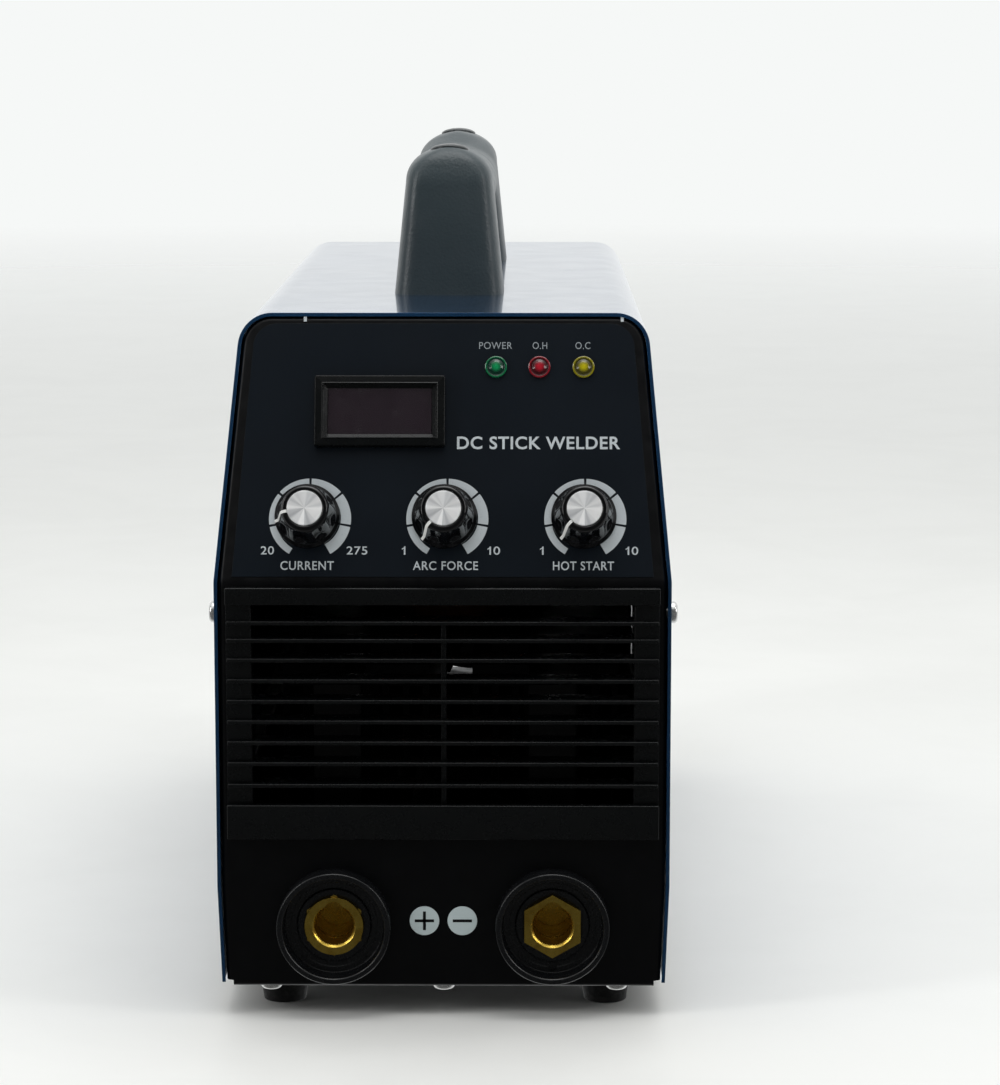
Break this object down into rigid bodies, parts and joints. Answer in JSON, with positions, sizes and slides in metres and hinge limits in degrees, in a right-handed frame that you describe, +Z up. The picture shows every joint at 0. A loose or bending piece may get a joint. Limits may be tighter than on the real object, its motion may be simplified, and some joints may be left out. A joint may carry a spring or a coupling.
{
  "type": "stick welding inverter",
  "caption": "Portable stick welding inverter: folded steel case with carrying handle, leaning control panel with dials and display, outlet grille, two output sockets and a rear fan.",
  "frame": {"origin": "on the floor, at the centre of the footprint of the whole object's box", "axes": "+Z up, -Y out of the front panel, +X to the right of someone facing the front panel"},
  "size_m": [0.1574, 0.4194, 0.2893],
  "materials": {
    "blue_paint": "gloss metallic",
    "black_powder_coat": "satin",
    "label_film": "satin, fine grain",
    "white_label": "satin",
    "grille_plastic": "satin moulded",
    "bezel_plastic": "semi-gloss",
    "smoked_window": "gloss",
    "display_block": "gloss",
    "green_lens": "translucent gloss",
    "red_lens": "translucent gloss",
    "amber_lens": "translucent gloss",
    "knob_plastic": "high gloss",
    "spun_aluminium": "spun",
    "socket_plastic": "satin moulded",
    "brass": "machined",
    "strap_sleeve": "shrink sleeve over copper",
    "handle_plastic": "coarse grain",
    "cap_plastic": "satin",
    "plated_screw": "bright plated",
    "zinc_steel": "zinc plated",
    "foot_rubber": "matt",
    "fan_plastic": "satin moulded",
    "guard_wire": "bright wire",
    "switch_plastic": "satin",
    "rocker_plastic": "gloss",
    "gland_nylon": "satin",
    "sink_aluminium": "extruded, black anodised",
    "board_laminate": "solder mask",
    "support_nylon": "satin",
    "device_epoxy": "matt",
    "capacitor_sleeve": "shrink sleeve",
    "ferrite": "matt",
    "winding_wire": "enamelled copper"
  },
  "bodies": {
    "case": {"cover": "blue_paint", "base_tray": "black_powder_coat", "front_panel": "black_powder_coat", "rear_panel": "black_powder_coat", "panel_label": "label_film", "polarity_labels": "white_label", "front_grille": "grille_plastic", "display_bezel": "bezel_plastic", "display_window": "smoked_window", "meter_display": "display_block", "control_board": "board_laminate", "potentiometers": "zinc_steel", "potentiometer_nuts": "zinc_steel", "socket_clamp_rings": "socket_plastic", "socket_nuts": "brass", "output_straps": "strap_sleeve", "handle": "handle_plastic", "handle_caps": "cap_plastic", "handle_screws": "zinc_steel", "m5_nuts": "zinc_steel", "cover_screws": "plated_screw", "base_screws": "plated_screw", "feet": "foot_rubber", "foot_screws": "zinc_steel", "fan_frame": "fan_plastic", "fan_guard": "guard_wire", "fan_screws": "plated_screw", "power_switch": "switch_plastic", "cable_gland": "gland_nylon", "gland_dome_nut": "gland_nylon", "gland_lock_nut": "gland_nylon", "earth_stud": "zinc_steel", "earth_nut": "brass", "heat_sinks": "sink_aluminium", "board_supports": "support_nylon", "power_devices": "device_epoxy", "main_board": "board_laminate", "capacitors": "capacitor_sleeve", "transformer_core": "ferrite", "transformer_winding": "winding_wire", "output_choke": "winding_wire", "power_lamp": "green_lens", "overheat_lamp": "red_lens", "overcurrent_lamp": "amber_lens", "positive_socket": "socket_plastic", "negative_socket": "socket_plastic", "positive_insert": "brass", "negative_insert": "brass"},
    "fan": {"fan_rotor": "fan_plastic"},
    "rocker": {"power_rocker": "rocker_plastic"},
    "current_dial": {"current_knob": "knob_plastic", "current_knob_cap": "spun_aluminium", "current_shaft": "zinc_steel"},
    "arc_force_dial": {"arc_force_knob": "knob_plastic", "arc_force_knob_cap": "spun_aluminium", "arc_force_shaft": "zinc_steel"},
    "hot_start_dial": {"hot_start_knob": "knob_plastic", "hot_start_knob_cap": "spun_aluminium", "hot_start_shaft": "zinc_steel"}
  },
  "joints": [
    {"name": "current_turn", "type": "hinge", "parent": "case", "child": "current_dial", "pos_m": [-0.0452, -0.19211, 0.1697], "axis": [0, 0.9454, -0.326], "range_deg": [-50, 250]},
    {"name": "arc_force_turn", "type": "hinge", "parent": "case", "child": "arc_force_dial", "pos_m": [0.0005, -0.19211, 0.1697], "axis": [0, 0.9454, -0.326], "range_deg": [-13, 287]},
    {"name": "hot_start_turn", "type": "hinge", "parent": "case", "child": "hot_start_dial", "pos_m": [0.047, -0.19211, 0.1697], "axis": [0, 0.9454, -0.326], "range_deg": [-15, 285]},
    {"name": "fan_spin", "type": "hinge", "parent": "case", "child": "fan", "pos_m": [0, 0.17602, 0.102], "axis": [0, 1, 0], "continuous": true},
    {"name": "rocker_tip", "type": "hinge", "parent": "case", "child": "rocker", "pos_m": [-0.036, 0.18772, 0.198], "axis": [1, 0, 0], "range_deg": [0, 24]}
  ]
}
